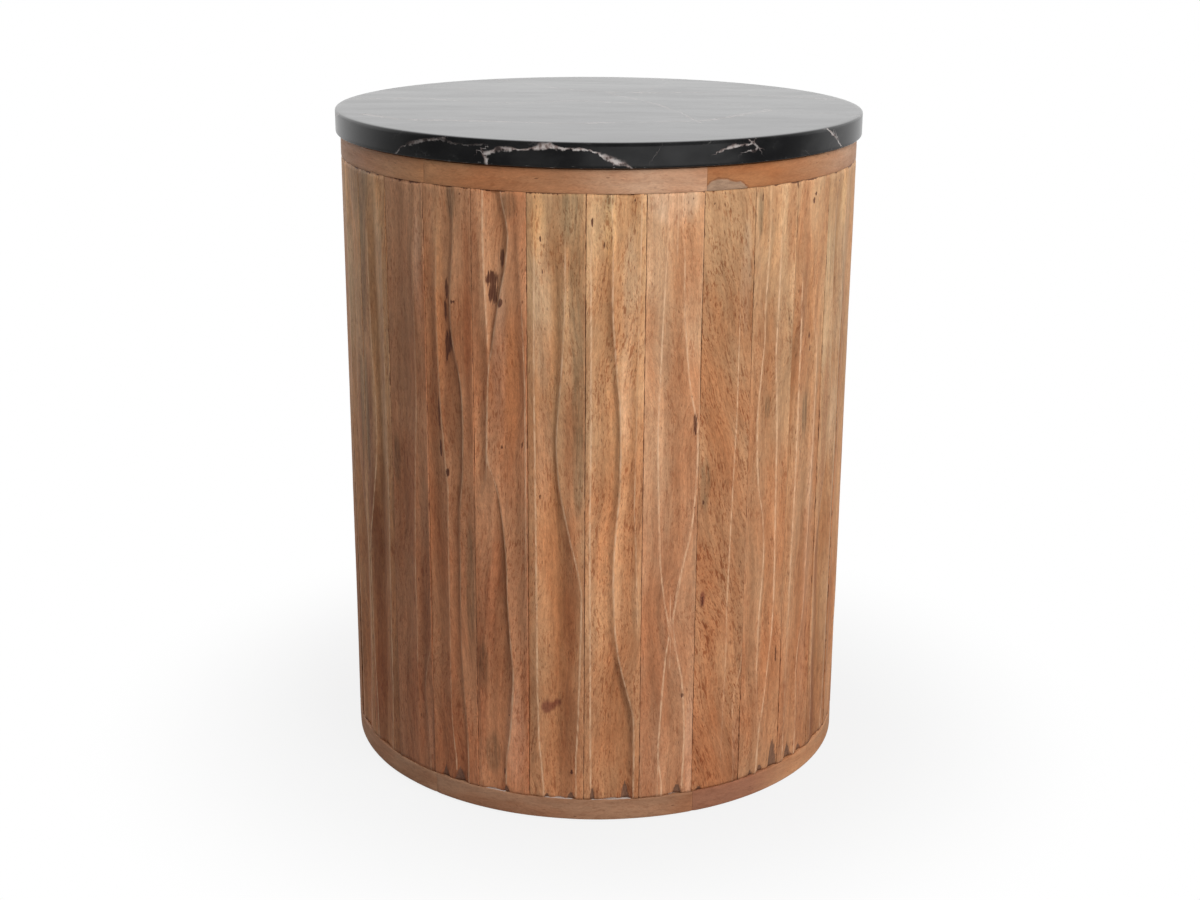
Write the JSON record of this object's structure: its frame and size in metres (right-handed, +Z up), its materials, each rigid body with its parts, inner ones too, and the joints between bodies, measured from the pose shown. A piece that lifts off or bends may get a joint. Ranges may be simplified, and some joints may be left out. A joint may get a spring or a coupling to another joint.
{
  "type": "side table",
  "caption": "Round side table: a dark veined marble disc on a drum of vertical hand-carved wooden staves between plain wooden hoops.",
  "frame": {"origin": "on the floor, under the middle of the drum", "axes": "+Z up through the marble top, -Y out of the side that the picture shows"},
  "size_m": [0.4599, 0.46, 0.58],
  "materials": {
    "black_marble": "honed, pale veins",
    "hoop_wood": "sanded, waxed",
    "stave_wood": "hand carved, waxed",
    "tenon_wood": "bare",
    "plywood": "bare plywood",
    "clear_silicone": "matt",
    "glide_felt": "pressed felt"
  },
  "bodies": {
    "root": {"marble_top": "black_marble", "top_hoop_segment_1": "hoop_wood", "top_hoop_segment_2": "hoop_wood", "top_hoop_segment_3": "hoop_wood", "top_hoop_segment_4": "hoop_wood", "top_hoop_segment_5": "hoop_wood", "top_hoop_segment_6": "hoop_wood", "bottom_hoop_segment_1": "hoop_wood", "bottom_hoop_segment_2": "hoop_wood", "bottom_hoop_segment_3": "hoop_wood", "bottom_hoop_segment_4": "hoop_wood", "bottom_hoop_segment_5": "hoop_wood", "bottom_hoop_segment_6": "hoop_wood", "stave_01": "stave_wood", "stave_02": "stave_wood", "stave_03": "stave_wood", "stave_04": "stave_wood", "stave_05": "stave_wood", "stave_06": "stave_wood", "stave_07": "stave_wood", "stave_08": "stave_wood", "stave_09": "stave_wood", "stave_10": "stave_wood", "stave_11": "stave_wood", "stave_12": "stave_wood", "stave_13": "stave_wood", "stave_14": "stave_wood", "stave_15": "stave_wood", "stave_16": "stave_wood", "stave_17": "stave_wood", "stave_18": "stave_wood", "stave_19": "stave_wood", "stave_20": "stave_wood", "stave_21": "stave_wood", "stave_22": "stave_wood", "stave_23": "stave_wood", "stave_24": "stave_wood", "stave_25": "stave_wood", "stave_26": "stave_wood", "stave_27": "stave_wood", "stave_28": "stave_wood", "stave_29": "stave_wood", "stave_30": "stave_wood", "top_hoop_tenons": "tenon_wood", "bottom_hoop_tenons": "tenon_wood", "top_panel": "plywood", "base_panel": "plywood", "silicone_pads": "clear_silicone", "floor_glides": "glide_felt"}
  },
  "joints": []
}
